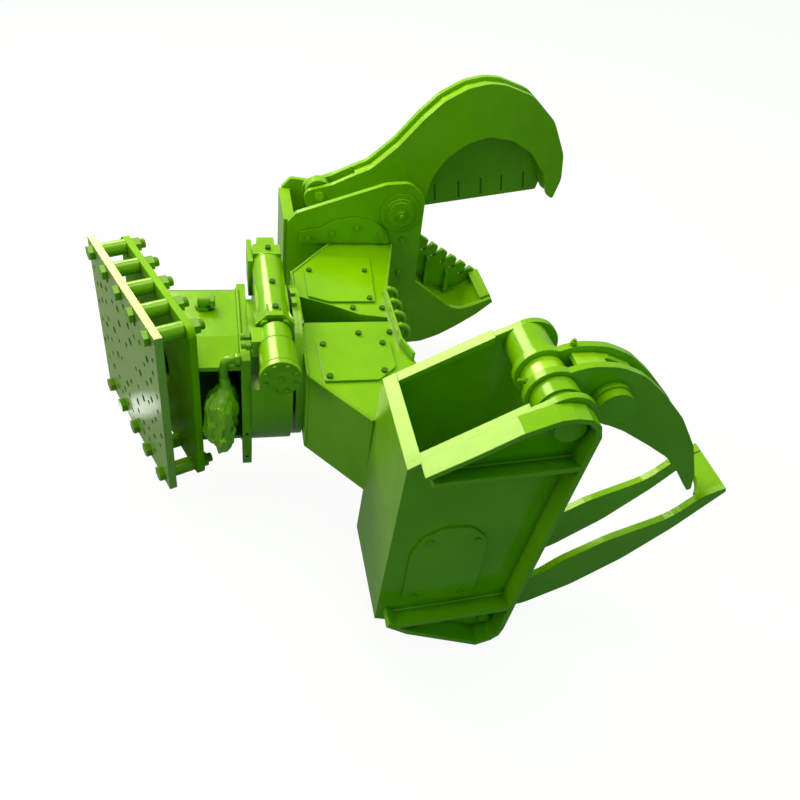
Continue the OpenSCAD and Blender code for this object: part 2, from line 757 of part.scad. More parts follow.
module barrel(r, gland, base_w, bore_r) {
  difference() {
    union() {
      rotate([90, 0, 0]) translate([0, 0, -base_w / 2]) cylinder(h = base_w, r = base_pin_r + 16);
      translate([0, 0, base_pin_r + 4]) cylinder(h = gland - base_pin_r - 4, r = r);
      translate([0, 0, gland - 34]) cylinder(h = 34, r = r + 5);
    }
    rotate([90, 0, 0]) translate([0, 0, -base_w / 2 - 1]) cylinder(h = base_w + 2, r = base_pin_r + pivot_gap);
    translate([0, 0, base_pin_r + 26]) cylinder(h = gland, r = bore_r);
  }
}

module shear_barrel() {
  color(paint) along_cylinder(shear_base, hook_mid, shear_lean)
    barrel(shear_barrel_r - 5, shear_gland, 70, shear_rod_r + pivot_gap);
}

module shear_rod() {
  color(steel) along_cylinder(shear_base, hook_mid, shear_lean) translate([0, 0, shear_len]) difference() {
    union() {
      translate([0, 0, -shear_rod_len]) cylinder(h = shear_rod_len - 10, r = shear_rod_r);
      rotate([90, 0, 0]) translate([0, 0, -shear_eye_w / 2]) cylinder(h = shear_eye_w, r = shear_eye_r);
    }
    rotate([90, 0, 0]) translate([0, 0, -shear_eye_w]) cylinder(h = shear_eye_w * 2, r = shear_eye_bore);
  }
}

module grapple_floor() {
  polygon(strip([[574, -246], [640, -268], [828, -349], [866, -345]], 0, 14));
}

module grapple_box() {
  y0 = near_cheek;
  y1 = far_cheek;
  color(paint) difference() {
    union() {
      slab(y0, y0 + box_t) polygon(rounded(cheek_line));
      slab(y1 - box_t, y1) polygon(rounded(far_cheek_line));
      slab(y0 + 1, y1 - 1) {
        polygon([[590, 261], [574, -246], [590, -246], [606, 271]]);
        grapple_floor();
        polygon([[590, 261], [619, 279], [619, 261], [590, 243]]);
      }
      slab(y0, y0 + 29) polygon([[590, 261], [822, 400], [822, 384], [590, 245]]);
      slab(y1 - 29, y1) polygon([[590, 261], [822, 392], [822, 376], [590, 245]]);
      slab(y0 + 1, fork_y0 - claw_t) polygon(front_wall);
      slab(fork_y1 + claw_t, y1 - 1) polygon(front_wall);
    }
    rod_y(claw_pivot, y0 - 1, y1 + 1, pivot_r);
    rod_y(claw_base, y0 - 1, y1 + 1, base_pin_r);
  }
}

// Rib across the outer cheek, rising by tilt toward its free edge
module frame_rib(start, slope, tilt, length) {
  intersection() {
    translate([start[0], near_cheek - band_d, start[1] - 60]) cube([length, band_d, 160]);
    translate([start[0], near_cheek, start[1]]) rotate([0, -slope, 0]) rotate([-tilt, 0, 0])
      translate([-20, -band_d - 20, -12]) cube([length + 40, band_d + 40, 12]);
  }
}

module grapple_frame() {
  color(paint_lit) {
    slab(near_cheek - band_d, near_cheek) polygon(strip(band_path, 0, -12));
    frame_rib([632, 254], 4.2, 18, 306);
    frame_rib([604, -222], 5.7, 12, 286);
  }
}

module grapple_cover() {
  color(paint) slab(near_cheek - 6, near_cheek) polygon(rounded([
    [630, -180, 16], [630, -10, 30], [650, 46, 40], [700, 76, 50], [760, 76, 50], [802, 30, 40],
    [808, -60, 40], [800, -180, 16]
  ]));
}

module grapple_cover_bolts() {
  color(paint_lit) for (p = [[669, 34], [778, 30], [770, -160], [656, -160]]) {
    rod_y(p, near_cheek - 11, near_cheek - 6, 8);
  }
}

module grapple_bosses() {
  color(paint_lit) difference() {
    union() {
      rod_y(claw_pivot, near_cheek + box_t, near_cheek + box_t + 26, 46);
      rod_y(claw_pivot, near_cheek + box_t + 26, claw_y0 - slack, 52);
      rod_y(claw_pivot, claw_y1 + slack, far_cheek - box_t, 50);
      rod_y(claw_pivot, near_cheek - 12, near_cheek, 38);
    }
    rod_y(claw_pivot, near_cheek - 13, far_cheek + 1, pivot_r);
  }
}

module grapple_pivot_pin() {
  color(paint) {
    rod_y(claw_pivot, near_cheek - 12, far_cheek, pivot_r);
    rod_y(claw_pivot, near_cheek - 20, near_cheek - 12, 34);
    rod_y(claw_pivot, far_cheek, far_cheek + 8, 40);
  }
}

module grapple_base_pin() {
  color(paint) {
    rod_y(claw_base, near_cheek, far_cheek + 8, base_pin_r);
    rod_y(claw_base, near_cheek - 6, near_cheek, 16);
    rod_y(claw_base, far_cheek, far_cheek + 8, 32);
  }
}

module fork() {
  color(paint) difference() {
    union() {
      for (y = [fork_y0 - claw_t, fork_y1]) {
        slab(y, y + claw_t) difference() {
          polygon(rounded(tine_line));
          grapple_floor();
        }
      }
      difference() {
        slab(fork_y0 - 1, fork_y1 + claw_t + bar_over)
          polygon([[1366, 26], [1424, 64], [1427, 54], [1372, 10]]);
        translate([1324, fork_mid, 0]) cylinder(h = 80, r = tine_in + 6);
      }
      slab(fork_y0 - 1, fork_y1 + 1) polygon([[990, -332], [1004, -332], [1004, -246], [990, -252]]);
    }
    rod_y(claw_base, fork_y0 - 60, fork_y1 + 60, base_pin_r);
  }
}

module claw_plate(y0) {
  color(paint) difference() {
    slab(y0, y0 + claw_t) {
      polygon(rounded(claw_line));
      translate(claw_pivot) circle(r = 62);
    }
    rod_y(claw_pivot, y0 - 1, y0 + claw_t + 1, pivot_r + pivot_gap);
    rod_y(rod_pin, y0 - 1, y0 + claw_t + 1, rod_pin_r);
  }
}

module claw_near_plate() {
  claw_plate(claw_y0);
}

module claw_far_plate() {
  claw_plate(claw_y1 - claw_t);
}

module claw_web() {
  color(paint) difference() {
    slab(claw_y0 + claw_t, claw_y1 - claw_t) {
      polygon(strip(claw_top_path, -16, -30));
      translate(claw_pivot) circle(r = 49);
    }
    rod_y(claw_pivot, claw_y0, claw_y1, pivot_r + pivot_gap);
    translate([0, claw_mid, 380]) for (x = [1026, 1050]) {
      translate([x, 0, 0]) cylinder(h = 60, r = 8);
    }
    translate([1026, claw_mid - 8, 380]) cube([24, 16, 60]);
  }
}

module claw_rod_pin() {
  color(paint_lit) {
    rod_y(rod_pin, claw_y0 - 20, claw_y1 + 6, rod_pin_r);
    rod_y(rod_pin, claw_y0 - 16, claw_y0, 46);
    rod_y(rod_pin, claw_y0 - 38, claw_y0 - 16, 42);
    rod_y(rod_pin, claw_y1, claw_y1 + 10, 40);
  }
}

module grease_nipple() {
  color(steel) translate([claw_pivot[0], claw_mid - 10, claw_pivot[1]]) rotate([0, -78, 0])
    translate([0, 0, 48.5]) {
      cylinder(h = 12, r = 7, $fn = 6);
      cylinder(h = 22, r = 4);
    }
}

module claw_barrel() {
  color(paint) along_cylinder(claw_base, claw_mid, claw_lean)
    barrel(claw_barrel_r - 5, claw_gland, claw_w, claw_rod_r + pivot_gap);
}

module claw_rod() {
  color(steel) along_cylinder(claw_base, claw_mid, claw_lean) translate([0, 0, claw_len]) difference() {
    union() {
      translate([0, 0, -claw_rod_len]) cylinder(h = claw_rod_len - 10, r = claw_rod_r);
      rotate([90, 0, 0]) translate([0, 0, -claw_eye_w / 2]) cylinder(h = claw_eye_w, r = claw_eye_r);
    }
    rotate([90, 0, 0]) translate([0, 0, -claw_eye_w]) cylinder(h = claw_eye_w * 2, r = claw_eye_bore);
  }
}

outer_plate();
inner_plate();
spacer_tubes();
clamp_bolts();
clamp_nuts();
neck_shell();
neck_flange();
neck_elbow();
supply_hose();
hose_bundle();
drive_housing();
drive_end_block();
drive_plugs();
motor_flange();
motor_body();
motor_cover();
motor_screws();
motor_fittings();
slew_ring();
head_flange();
ring_bolts();
head_shell();
shear_side_cover();
grapple_side_cover();
cover_bolts();
hose_guard();
hose_loops();
shear_near_plate();
shear_far_plate();
shear_back_wall();
jaw_floor();
toothed_plate();
shear_cover();
shear_cover_bolts();
shear_bosses();
shear_pivot_pin();
shear_base_pin();
hook_near_plate();
hook_far_plate();
hook_web();
blade();
blade_bolts();
hook_tail_pin();
shear_barrel();
shear_rod();
grapple_box();
grapple_frame();
grapple_cover();
grapple_cover_bolts();
grapple_bosses();
grapple_pivot_pin();
grapple_base_pin();
fork();
claw_near_plate();
claw_far_plate();
claw_web();
claw_rod_pin();
grease_nipple();
claw_barrel();
claw_rod();
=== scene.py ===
import math

import bpy
from mathutils import Matrix, Vector


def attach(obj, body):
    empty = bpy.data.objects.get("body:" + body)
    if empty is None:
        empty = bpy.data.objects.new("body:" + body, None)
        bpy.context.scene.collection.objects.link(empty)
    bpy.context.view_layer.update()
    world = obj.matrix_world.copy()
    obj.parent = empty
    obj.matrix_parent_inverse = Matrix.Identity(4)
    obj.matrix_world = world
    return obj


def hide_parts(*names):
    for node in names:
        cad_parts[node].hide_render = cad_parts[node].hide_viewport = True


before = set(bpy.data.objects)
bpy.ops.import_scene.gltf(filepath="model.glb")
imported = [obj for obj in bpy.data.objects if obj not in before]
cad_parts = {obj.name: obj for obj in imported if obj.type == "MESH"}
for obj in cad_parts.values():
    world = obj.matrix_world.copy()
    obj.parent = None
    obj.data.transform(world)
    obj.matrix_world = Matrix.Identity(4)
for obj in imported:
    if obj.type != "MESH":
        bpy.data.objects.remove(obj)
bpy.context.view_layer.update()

print("frame loaded:", len(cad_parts), "nodes")


def colour(hexCode):
    # sRGB hex to the linear values that a shader takes
    parts = [int(hexCode[i:i + 2], 16) / 255 for i in (1, 3, 5)]
    return [c / 12.92 if c <= 0.04045 else ((c + 0.055) / 1.055) ** 2.4 for c in parts] + [1.0]


def point(p):
    # the drawings are in millimetres, the scene is in metres
    return Vector((p[0] / 1000, p[1] / 1000, p[2] / 1000))


def addNode(tree, kind, inputs=None, **settings):
    # an input given as another node's socket is linked, any other value is set
    node = tree.nodes.new(kind)
    for name, value in settings.items():
        setattr(node, name, value)
    for name, value in (inputs or {}).items():
        if isinstance(value, bpy.types.NodeSocket):
            tree.links.new(value, node.inputs[name])
        else:
            node.inputs[name].default_value = value
    return node


def newMaterial(name):
    material = bpy.data.materials.new(name)
    material.use_nodes = True
    material.node_tree.nodes.clear()
    return material, material.node_tree


def deselectAll():
    if bpy.context.object and bpy.context.object.mode != "OBJECT":
        bpy.ops.object.mode_set(mode="OBJECT")
    bpy.ops.object.select_all(action="DESELECT")


def pick(obj):
    deselectAll()
    obj.select_set(True)
    bpy.context.view_layer.objects.active = obj


def settle(obj):
    # the object goes back to the origin and its place into its mesh
    pick(obj)
    bpy.ops.object.transform_apply(location=True, rotation=True, scale=True)
    return obj


def placed(obj, place, turn):
    obj.location = point(place)
    obj.rotation_euler = turn
    return settle(obj)


def joinAll(name, parts):
    deselectAll()
    for part in parts:
        part.select_set(True)
    bpy.context.view_layer.objects.active = parts[0]
    bpy.ops.object.join()
    joined = bpy.context.object
    joined.name = name
    return settle(joined)


def applyModifier(obj, kind, **settings):
    modifier = obj.modifiers.new(kind.title(), kind)
    for name, value in settings.items():
        setattr(modifier, name, value)
    pick(obj)
    bpy.ops.object.modifier_apply(modifier=modifier.name)


def finish(obj, material, body, smooth=35):
    obj.data.materials.clear()
    obj.data.materials.append(material)
    pick(obj)
    bpy.ops.object.shade_smooth_by_angle(angle=math.radians(smooth))
    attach(obj, body)
    return obj


# the enamel on steel plate; sizes in millimetres
enamelSetup = {
    "base": "#8CC600",
    "thin": "#A4D422",  # over edges, where little paint holds
    "deep": "#74AE00",  # where it ran thick
    "grime": "#3F6A0A",  # painted shade in corners
    "roughness": (0.15, 0.28),
    "edgeRadius": 3,
    "peelSize": 1.111,  # orange peel
    "waveSize": 33.33,  # slow waves of the plate under the paint
    "coat": 0.3,
    "coatRoughness": 0.1,
    "gloss": 0.35,
    "glossTint": "#E8FFA8",
}
paintNoise = {  # patch size in millimetres, detail, roughness
    "cloud": (181.8, 4.0, 0.55),  # one pass of the spray gun and the next
    "thinSpot": (52.63, 5.0, 0.6),
    "speckle": (3.846, 2.0, 0.5),  # overspray grit, under 1 mm in truth, drawn coarser so that it shows
    "dust": (29.41, 6.0, 0.65),
}
paintLayers = {  # mask from, mask to, share of the layer at the one and at the other
    "cloud": (0.35, 0.68, 0.45, 1.0),
    "thinSpot": (0.5, 0.8, 0.0, 0.22),
    "speckle": (0.62, 0.8, 0.0, 0.35),
    "edge": (0.80, 0.99, 0.55, 0.0),
    # painted shade: darker where the occlusion finds surfaces close by
    "corner": (0.25, 0.75, 0.75, 0.0),
    "dust": (0.4, 0.72, 0.0, 0.5),
}
paintRelief = {  # strength, depth in millimetres, detail and roughness of the noise
    "wave": (0.5, 1.4, 3.0, 0.5),
    "peel": (0.22, 0.3, 2.0, 0.5),
}
cornerReach = 35
shineRange = (0.3, 0.75)  # noise values between which the roughness goes from low to high


def enamelShader(tree, base, thin, deep, grime, roughness, edgeRadius, peelSize, waveSize,
                 coat, coatRoughness, gloss, glossTint, dust=None):
    coords = addNode(tree, "ShaderNodeTexCoord").outputs["Object"]
    rounded = addNode(tree, "ShaderNodeBevel", {"Radius": edgeRadius / 1000}, samples=4).outputs["Normal"]
    flat = addNode(tree, "ShaderNodeNewGeometry").outputs["Normal"]
    facing = addNode(tree, "ShaderNodeVectorMath", {0: rounded, 1: flat}, operation="DOT_PRODUCT")
    # occlusion mask for the painted shade in corners
    hollow = addNode(tree, "ShaderNodeAmbientOcclusion", {"Distance": cornerReach / 1000}, samples=4)
    mask = {"edge": facing.outputs["Value"], "corner": hollow.outputs["AO"]}
    layers = {"cloud": base, "thinSpot": thin, "speckle": deep, "edge": thin, "corner": grime, "dust": dust}
    patterns = {
        **paintNoise,
        "wave": (waveSize, *paintRelief["wave"][2:]),
        "peel": (peelSize, *paintRelief["peel"][2:]),
    }
    for part, (size, detail, rough) in patterns.items():
        if layers.get(part, True):  # no dust, no dust pattern
            pattern = addNode(tree, "ShaderNodeTexNoise", {"Vector": coords, "Scale": 1000 / size,
                                                           "Detail": detail, "Roughness": rough})
            mask[part] = pattern.outputs["Fac"]

    body = colour(deep)
    for part, tone in layers.items():
        if tone:
            low, high, least, most = paintLayers[part]
            share = addNode(tree, "ShaderNodeMapRange", {0: mask[part], 1: low, 2: high, 3: least, 4: most})
            mixed = addNode(tree, "ShaderNodeMix", {0: share.outputs[0], 6: body, 7: colour(tone)},
                            data_type="RGBA")
            body = mixed.outputs[2]
    shine = addNode(tree, "ShaderNodeMapRange", {0: mask["thinSpot"], 1: shineRange[0], 2: shineRange[1],
                                                 3: roughness[0], 4: roughness[1]})
    normal = rounded
    for part, (strength, depth, detail, rough) in paintRelief.items():
        relief = addNode(tree, "ShaderNodeBump", {"Strength": strength, "Distance": depth / 1000,
                                                  "Height": mask[part], "Normal": normal})
        normal = relief.outputs["Normal"]
    shader = addNode(tree, "ShaderNodeBsdfPrincipled", {
        "Base Color": body, "Roughness": shine.outputs[0], "Normal": normal,
        "Specular IOR Level": gloss, "Specular Tint": colour(glossTint),
        "Coat Weight": coat, "Coat Roughness": coatRoughness,
    })
    return shader.outputs["BSDF"]


def enamel(name, **changes):
    material, tree = newMaterial(name)
    paint = enamelShader(tree, **{**enamelSetup, **changes})
    addNode(tree, "ShaderNodeOutputMaterial", {"Surface": paint})
    return material


# gloss enamel sprayed on steel plate: a wet shine with slow waves, pale edges and painted shade in corners
greenEnamel = enamel("greenEnamel")
# the same enamel on bolts: a shade darker, with crisp edges
boltEnamel = enamel("boltEnamel", base="#80BA00", grime="#385E0C", edgeRadius=0.8)
# a thin coat with dry overspray on the drilled plate: pale and dusty, and a mirror at a low angle
drilledPlateEnamel = enamel("drilledPlateEnamel", base="#A8C46A", thin="#B6CC84", deep="#98B850",
                            roughness=(0.3, 0.5), edgeRadius=1.6, coat=0.5, coatRoughness=0.05, dust="#B4C48C")
# overspray between the two plates, where the gun doesn't reach: nearly matt
cavityEnamel = enamel("cavityEnamel", roughness=(0.45, 0.6), coat=0.0, gloss=0.12)
# a thin coat on blackened screws: dark green
coverScrew = enamel("coverScrew", base="#4E7A10", thin="#7CAE20", deep="#34540C", grime="#22380A", edgeRadius=0.8)
# enamel over rubber hose: a softer shine
hoseEnamel = enamel("hoseEnamel", base="#82BC00", roughness=(0.22, 0.4), edgeRadius=0.6, coat=0.5)
# enamel between two plates, glossy and lighter than the paint: painted light on the webs and the tail pin, which
# lie in shade between the plates
channelLitEnamel = enamel("channelLitEnamel", base="#B0E208", thin="#CCF04C", deep="#98D000", grime="#86BE00",
                       coat=0.8, coatRoughness=0.2, gloss=0.6)
# enamel on plastic film, very glossy so that each fold catches the light; its base is lighter than the paint,
# painted light on the bag, which hangs in shade
filmLitEnamel = enamel("filmLitEnamel", base="#A8DC10", thin="#C4EC48", deep="#84C000", roughness=(0.12, 0.3),
                    edgeRadius=0.6, coat=0.8, coatRoughness=0.05, gloss=0.6)
# enamel over weld beads: close waves
weldEnamel = enamel("weldEnamel", base="#90CA08", edgeRadius=0.4, waveSize=7.143)

rodSetup = {
    "shear_rod": {"eye": (553, 530, 250), "painted": 46},
    "claw_rod": {"eye": (1030, -563.5, 355), "painted": 46},
}
chromeSetup = {
    "tint": "#C9C9C4",
    "scratch": {"size": 7.143, "detail": 4.0, "rough": 0.6},  # in truth 0.1 mm wide, drawn coarser so that it shows
    "scratchRange": (0.3, 0.8),
    "roughness": (0.08, 0.24),
    "relief": (0.1, 0.1),  # strength, depth in millimetres
    "paintEdge": 2,  # millimetres over which the paint of the eye ends
}


def paintedRod(name, eye, painted):
    # hard chrome, ground and polished: a bright mirror with faint scratches, and the eye under enamel
    material, tree = newMaterial(name)
    paint = enamelShader(tree, **enamelSetup)
    coords = addNode(tree, "ShaderNodeTexCoord").outputs["Object"]
    look = chromeSetup["scratch"]
    scratch = addNode(tree, "ShaderNodeTexNoise", {"Vector": coords, "Scale": 1000 / look["size"],
                                                   "Detail": look["detail"], "Roughness": look["rough"]})
    (low, high), (least, most) = chromeSetup["scratchRange"], chromeSetup["roughness"]
    shine = addNode(tree, "ShaderNodeMapRange", {0: scratch.outputs["Fac"], 1: low, 2: high, 3: least, 4: most})
    strength, depth = chromeSetup["relief"]
    relief = addNode(tree, "ShaderNodeBump", {"Strength": strength, "Distance": depth / 1000,
                                              "Height": scratch.outputs["Fac"]})
    chrome = addNode(tree, "ShaderNodeBsdfPrincipled", {
        "Base Color": colour(chromeSetup["tint"]), "Metallic": 1.0,
        "Roughness": shine.outputs[0], "Normal": relief.outputs["Normal"],
    })
    away = addNode(tree, "ShaderNodeVectorMath", {0: coords, 1: point(eye)}, operation="DISTANCE")
    edge = chromeSetup["paintEdge"]
    bare = addNode(tree, "ShaderNodeMapRange", {0: away.outputs["Value"], 1: painted / 1000,
                                                2: (painted + edge) / 1000, 3: 0.0, 4: 1.0})
    mix = addNode(tree, "ShaderNodeMixShader", {0: bare.outputs[0], 1: paint, 2: chrome.outputs["BSDF"]})
    addNode(tree, "ShaderNodeOutputMaterial", {"Surface": mix.outputs["Shader"]})
    return material


rodFinish = {node: paintedRod(node + "Finish", **setup) for node, setup in rodSetup.items()}

nodeFinish = {
    "outer_plate": drilledPlateEnamel, "inner_plate": cavityEnamel,
    "clamp_bolts": boltEnamel, "clamp_nuts": boltEnamel, "ring_bolts": boltEnamel,
    "cover_bolts": coverScrew, "shear_cover_bolts": boltEnamel, "blade_bolts": boltEnamel,
    "grapple_cover_bolts": boltEnamel, "motor_screws": boltEnamel, "motor_fittings": boltEnamel,
    "drive_plugs": coverScrew, "grease_nipple": boltEnamel,
    "hook_web": channelLitEnamel, "hook_tail_pin": channelLitEnamel, "claw_web": channelLitEnamel,
    "supply_hose": hoseEnamel, "hose_bundle": hoseEnamel, "hose_loops": hoseEnamel,
    **rodFinish,
}
for nodeName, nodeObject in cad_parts.items():
    nodeObject.data.materials.clear()
    nodeObject.data.materials.append(nodeFinish.get(nodeName, greenEnamel))
print("materials on", len(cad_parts), "nodes")

cameraSetup = {
    "place": (243.5, -1709.8, 1352.1),
    "yaw": 16.88,
    "pitch": 40.37,
    "roll": 8.91,
    "focal": 775.5,  # pixels, over a frame of this width
    "frameWidth": 800,
    "sensor": 36,
}


def addCamera(setup):
    yaw, pitch, roll = (math.radians(setup[k]) for k in ("yaw", "pitch", "roll"))
    forward = Vector((math.sin(yaw) * math.cos(pitch), math.cos(yaw) * math.cos(pitch), -math.sin(pitch)))
    right = Vector((math.cos(yaw), -math.sin(yaw), 0))
    up = right.cross(forward)
    right, up = (math.cos(roll) * right + math.sin(roll) * up,
                 -math.sin(roll) * right + math.cos(roll) * up)
    data = bpy.data.cameras.new("camera")
    data.sensor_width = setup["sensor"]
    data.lens = setup["focal"] / setup["frameWidth"] * setup["sensor"]
    camera = bpy.data.objects.new("camera", data)
    bpy.context.scene.collection.objects.link(camera)
    turn = Matrix((right, up, -forward)).transposed().to_4x4()
    camera.matrix_world = Matrix.Translation(point(setup["place"])) @ turn
    bpy.context.scene.camera = camera


addCamera(cameraSetup)

# the studio is in metres
studioSetup = {
    "floorSize": 14,
    "floorPlace": (0.6, 0, -0.352),
    "floorGrey": "#6E746E",  # what the floor throws back on the object
    "floorPale": "#F2F2F2",  # what the camera sees of it
    "floorRoughness": 0.9,
    "floorWhite": 0.87,  # share that glows, the rest takes the shadow
    "floorGlow": 1.08,
    "floorShine": 0.12,  # share of the white floor that reflections see
    # a floor spot that glows only for reflections: a painted highlight on the outer plate
    "glintSpot": {"place": (-0.155, 0.172, -0.352), "radius": (0.03, 0.075), "glow": 16},  # mirrored in the outer plate
    "skyShine": 0.3,  # share of the white surroundings that reflections see
    "ambient": ("#9CFFA8", 0.31),
    "key": {"place": (-0.9, 2.5, 2.3), "target": (0.5, -0.1, 0.1), "size": 1.9, "power": 122, "tint": "#FFF4D0"},
    "top": {"place": (1.0, 0.3, 3.4), "target": (0.7, 0.0, 0.1), "size": 2.0, "power": 60, "tint": "#FFF4D8"},
    "left": {"place": (-2.6, -0.9, 1.4), "target": (0.4, -0.1, 0.0), "size": 1.5, "power": 17, "tint": "#FFFFF0"},
}


def addFloor(setup):
    deselectAll()
    bpy.ops.mesh.primitive_plane_add(size=setup["floorSize"], location=setup["floorPlace"])
    floor = bpy.context.object
    floor.name = "studioFloor"
    material, tree = newMaterial("paleFloor")
    path = addNode(tree, "ShaderNodeLightPath")
    seen, mirrored = path.outputs["Is Camera Ray"], path.outputs["Is Glossy Ray"]
    tone = addNode(tree, "ShaderNodeMix", {0: seen, 6: colour(setup["floorGrey"]), 7: colour(setup["floorPale"])},
                   data_type="RGBA")
    dull = addNode(tree, "ShaderNodeBsdfPrincipled", {"Base Color": tone.outputs[2], "Specular IOR Level": 0.0,
                                                      "Roughness": setup["floorRoughness"]})
    # the spot glows only where reflections see it: a painted highlight
    glintSpot = setup["glintSpot"]
    place = addNode(tree, "ShaderNodeNewGeometry").outputs["Position"]
    away = addNode(tree, "ShaderNodeVectorMath", {0: place, 1: glintSpot["place"]}, operation="DISTANCE")
    bright = addNode(tree, "ShaderNodeMapRange", {0: away.outputs["Value"], 1: glintSpot["radius"][0],
                                                  2: glintSpot["radius"][1], 3: glintSpot["glow"], 4: 0.0})
    strength = addNode(tree, "ShaderNodeMath", {0: bright.outputs[0], 1: mirrored, 2: setup["floorGlow"]},
                       operation="MULTIPLY_ADD")
    glow = addNode(tree, "ShaderNodeEmission", {"Color": colour("#FFFFFF"), "Strength": strength.outputs[0]})
    shine = addNode(tree, "ShaderNodeMath", {0: mirrored, 1: setup["floorShine"]}, operation="MULTIPLY")
    share = addNode(tree, "ShaderNodeMath", {0: seen, 1: setup["floorWhite"], 2: shine.outputs[0]},
                    operation="MULTIPLY_ADD")
    mix = addNode(tree, "ShaderNodeMixShader", {0: share.outputs[0], 1: dull.outputs["BSDF"],
                                                2: glow.outputs["Emission"]})
    addNode(tree, "ShaderNodeOutputMaterial", {"Surface": mix.outputs["Shader"]})
    floor.data.materials.append(material)


def addWorld(setup):
    world = bpy.data.worlds.new("studio")
    bpy.context.scene.world = world
    world.use_nodes = True
    tree = world.node_tree
    tree.nodes.clear()
    tint, strength = setup["ambient"]
    ambient = addNode(tree, "ShaderNodeBackground", {"Color": colour(tint), "Strength": strength})
    white = addNode(tree, "ShaderNodeBackground", {"Color": colour("#FFFFFF"), "Strength": 1.0})
    path = addNode(tree, "ShaderNodeLightPath")
    shine = addNode(tree, "ShaderNodeMath", {0: path.outputs["Is Glossy Ray"], 1: setup["skyShine"]},
                    operation="MULTIPLY")
    seen = addNode(tree, "ShaderNodeMath", {0: path.outputs["Is Camera Ray"], 1: shine.outputs[0]},
                   operation="MAXIMUM")
    mix = addNode(tree, "ShaderNodeMixShader", {0: seen.outputs[0], 1: ambient.outputs[0], 2: white.outputs[0]})
    addNode(tree, "ShaderNodeOutputWorld", {"Surface": mix.outputs[0]})


def addLamp(name, setup):
    data = bpy.data.lights.new(name, "AREA")
    data.size = setup["size"]
    data.energy = setup["power"]
    data.color = colour(setup["tint"])[:3]
    lamp = bpy.data.objects.new(name, data)
    bpy.context.scene.collection.objects.link(lamp)
    lamp.location = setup["place"]
    aim = Vector(setup["target"]) - Vector(setup["place"])
    lamp.rotation_euler = aim.to_track_quat("-Z", "Y").to_euler()


addFloor(studioSetup)
addWorld(studioSetup)
for lampName in ("key", "top", "left"):
    addLamp(lampName + "Lamp", studioSetup[lampName])
bpy.context.scene.view_settings.view_transform = "Standard"
print("camera, floor and light done")

# weld beads: one ripple, repeated along each seam; a seam is its radius and its corners in millimetres
weldSetup = {
    "ripple": 3.6,
    "length": 0.62,  # of a ripple over its width
    "sides": 8,
    "rings": 6,
    "smooth": 60,
}
jawFloor = [(884, -62), (910, -83), (960, -127), (1000, -151), (1035, -159), (1070, -153), (1116, -128)]


def weldLine(start, end, size):
    start, end = point(start), point(end)
    run = end - start
    count = max(2, round(run.length * 1000 / weldSetup["ripple"]))
    bpy.ops.mesh.primitive_uv_sphere_add(segments=weldSetup["sides"], ring_count=weldSetup["rings"],
                                         radius=size / 1000, location=start,
                                         rotation=run.to_track_quat("Z", "Y").to_euler())
    bead = bpy.context.object
    bead.scale = (1, 1, weldSetup["length"])
    settle(bead)
    applyModifier(bead, "ARRAY", count=count, use_relative_offset=False, use_constant_offset=True,
                  constant_offset_displace=run / (count - 1))
    return bead


def weldSeams(name, body, seams):
    parts = [weldLine(a, b, size) for size, path in seams for a, b in zip(path, path[1:])]
    return finish(joinAll(name, parts), weldEnamel, body, weldSetup["smooth"])


def upright(size, y, path):
    # a seam on an upright plate, given in x and z
    return size, [(x, y, z) for x, z in path]


mountSeams = [
    (5.5, [(290, -172, 120), (290, -70, 140), (290, 136, 140), (290, 174, 120), (290, 176, -150)]),
    (5.0, [(290, 170, -152), (290, -150, -152)]),
]
headSeams = [
    (5.0, [(448, -237, 135), (448, 237, 135)]),
    (5.0, [(450, 237, 132), (581, 407, 132)]),
    (5.0, [(450, -237, 132), (581, -407, 132)]),
    (5.0, [(462, -14, 121), (690, -14, 121)]),
    (4.5, [(450, 240, 130), (450, 240, -100)]),
    (4.5, [(450, -240, 130), (450, -240, -100)]),
    (4.5, [(581, -408, 134), (600, -408, 134)]),
    (5.0, [(708, 126, 131), (776, 404, 131)]),
    upright(5.0, 428, [(476, 200), (476, -116)]),
    upright(5.0, 633, [(476, 200), (476, -116)]),
    upright(5.0, 428, jawFloor),
    upright(5.0, 589, jawFloor),
    (5.5, [(608, -673, 268), (608, -673, -240)]),
    (5.5, [(608, -426, 268), (608, -426, -240)]),
    upright(5.0, -692, [(634, 256), (936, 278)]),
    upright(5.0, -692, [(606, -221), (888, -192)]),
]
weldSeams("mountWelds", "base", mountSeams)
weldSeams("headWelds", "head", headSeams)
print("welds done")

# threads on the clamp bolts' ends, behind the nuts
threadSetup = {
    "radius": 12.0,
    "depth": 1.3,
    "pitch": 3.0,
    "turns": 4,
    "steps": 28,
    "start": 123.0,  # from the outer face of the mount
    "across": 205,
    "up": 226,
    "count": 5,  # in each of the two rows
}
plateTurn = math.radians(22)


def onPlate(depth, across, up):
    # a place on the turned mount plate
    return (depth * math.cos(plateTurn) - across * math.sin(plateTurn),
            depth * math.sin(plateTurn) + across * math.cos(plateTurn), up)


